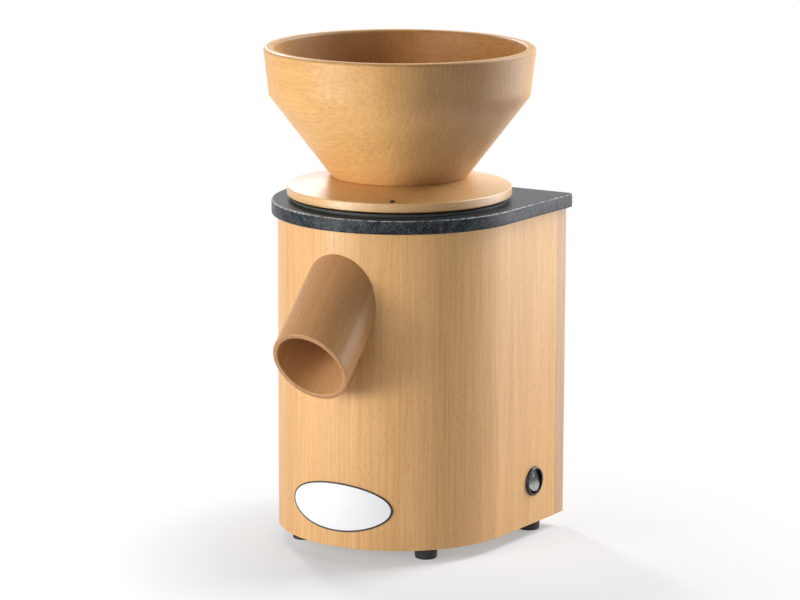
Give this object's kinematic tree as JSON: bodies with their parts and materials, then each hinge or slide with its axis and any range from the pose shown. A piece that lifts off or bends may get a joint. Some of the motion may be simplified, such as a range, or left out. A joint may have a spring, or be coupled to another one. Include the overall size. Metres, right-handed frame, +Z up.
{
  "type": "electric grain mill",
  "caption": "Electric grain mill: round-fronted wooden housing on rubber feet, turned hopper on a dial that sets the stones, slanted round spout and side rocker switch.",
  "frame": {"origin": "on the ground under the middle of the mill's outer box; the milling axis is vertical at x = 0, y = 0.025 m", "axes": "+Z up along the milling axis, -Y to the front where the spout points, +X to the right side with the switch"},
  "size_m": [0.239, 0.289, 0.44],
  "materials": {
    "beech_shell": "satin oiled",
    "beech_back": "satin oiled",
    "plywood_base": "matt",
    "beech_turned": "satin oiled",
    "beech_spout": "satin oiled",
    "dark_dowel": "satin",
    "slate_plate": "satin, fine speckle",
    "grey_scale": "satin",
    "badge_white": "gloss",
    "badge_black": "gloss",
    "black_rubber": "matt",
    "zinc_screw": "zinc plated",
    "bright_steel": "ground",
    "cast_alloy": "as cast",
    "brass_ring": "machined",
    "spring_wire": "bright",
    "felt": "felt",
    "core_steel": "varnished laminations",
    "copper_winding": "lacquered wire",
    "race_steel": "polished",
    "grey_can": "drawn",
    "black_gloss": "gloss",
    "terminal_brass": "tinned",
    "ivory_plastic": "moulded",
    "black_plastic": "moulded",
    "lead_brown": "smooth",
    "lead_blue": "smooth",
    "mill_stone": "bonded grit",
    "grey_plastic": "moulded",
    "white_plastic": "moulded",
    "amber_washer": "smooth"
  },
  "bodies": {
    "root": {"housing_shell": "beech_shell", "back_panel": "beech_back", "base_plate": "plywood_base", "base_blocks": "plywood_base", "top_plate": "slate_plate", "scale_ring": "grey_scale", "spout_tube": "beech_spout", "badge_plate": "badge_white", "badge_border": "badge_black", "foot_front_left": "black_rubber", "foot_front_right": "black_rubber", "foot_rear_left": "black_rubber", "foot_rear_right": "black_rubber", "foot_screws": "zinc_screw", "base_screws": "zinc_screw", "back_screws": "zinc_screw", "milling_chamber": "cast_alloy", "flour_duct": "cast_alloy", "thread_ring": "brass_ring", "guide_pins": "bright_steel", "carrier_springs": "spring_wire", "chamber_seal": "felt", "chamber_screws": "zinc_screw", "upper_end_bell": "cast_alloy", "lower_end_bell": "cast_alloy", "stator_core": "core_steel", "stator_windings": "copper_winding", "motor_bolts": "zinc_screw", "upper_outer_race": "race_steel", "lower_outer_race": "race_steel", "run_capacitor": "grey_can", "capacitor_clamp": "zinc_screw", "switch_body": "black_gloss", "switch_terminals": "terminal_brass", "terminal_block": "ivory_plastic", "cord_gland": "black_plastic", "gland_nut": "black_plastic", "switch_leads": "lead_brown", "motor_leads": "lead_blue"},
    "carrier": {"stone_carrier": "cast_alloy", "upper_stone": "mill_stone", "stone_screws": "zinc_screw", "thrust_washer": "amber_washer"},
    "hopper": {"hopper_bowl": "beech_turned", "dial_disc": "beech_turned", "dial_mark": "dark_dowel", "threaded_collar": "grey_plastic", "collar_screws": "zinc_screw", "throat_guard": "bright_steel"},
    "rotor": {"motor_shaft": "bright_steel", "rotor_core": "core_steel", "runner_hub": "cast_alloy", "lower_stone": "mill_stone", "hub_screw": "zinc_screw", "cooling_fan": "white_plastic", "upper_inner_race": "race_steel", "lower_inner_race": "race_steel"},
    "upper_ball_set": {"upper_balls": "race_steel"},
    "lower_ball_set": {"lower_balls": "race_steel"},
    "rocker": {"switch_rocker": "black_gloss"}
  },
  "joints": [
    {"name": "stone_lift", "type": "slide", "parent": "root", "child": "carrier", "axis": [0, 0, 1], "range_m": [-0.00034, 0.00201], "deforming": ["carrier_springs"]},
    {"name": "dial_turn", "type": "hinge", "parent": "carrier", "child": "hopper", "pos_m": [0, 0.025, 0.3], "axis": [0, 0, 1], "range_deg": [-40, 240]},
    {"name": "rotor_spin", "type": "hinge", "parent": "root", "child": "rotor", "pos_m": [0, 0.025, 0.2], "axis": [0, 0, 1], "continuous": true},
    {"name": "upper_balls_roll", "type": "hinge", "parent": "root", "child": "upper_ball_set", "pos_m": [0, 0.025, 0.224], "axis": [0, 0, 1], "continuous": true},
    {"name": "lower_balls_roll", "type": "hinge", "parent": "root", "child": "lower_ball_set", "pos_m": [0, 0.025, 0.11], "axis": [0, 0, 1], "continuous": true},
    {"name": "rocker_tilt", "type": "hinge", "parent": "root", "child": "rocker", "pos_m": [0.10655, 0.07497, 0.051], "axis": [0.0593, 0.9982, 0], "range_deg": [0, 16]}
  ],
  "couplings": [
    {"joint": "stone_lift", "follows": "dial_turn", "m_per_rad": 0.00047746},
    {"joint": "upper_balls_roll", "follows": "rotor_spin", "ratio": 0.38298},
    {"joint": "lower_balls_roll", "follows": "rotor_spin", "ratio": 0.38298}
  ]
}
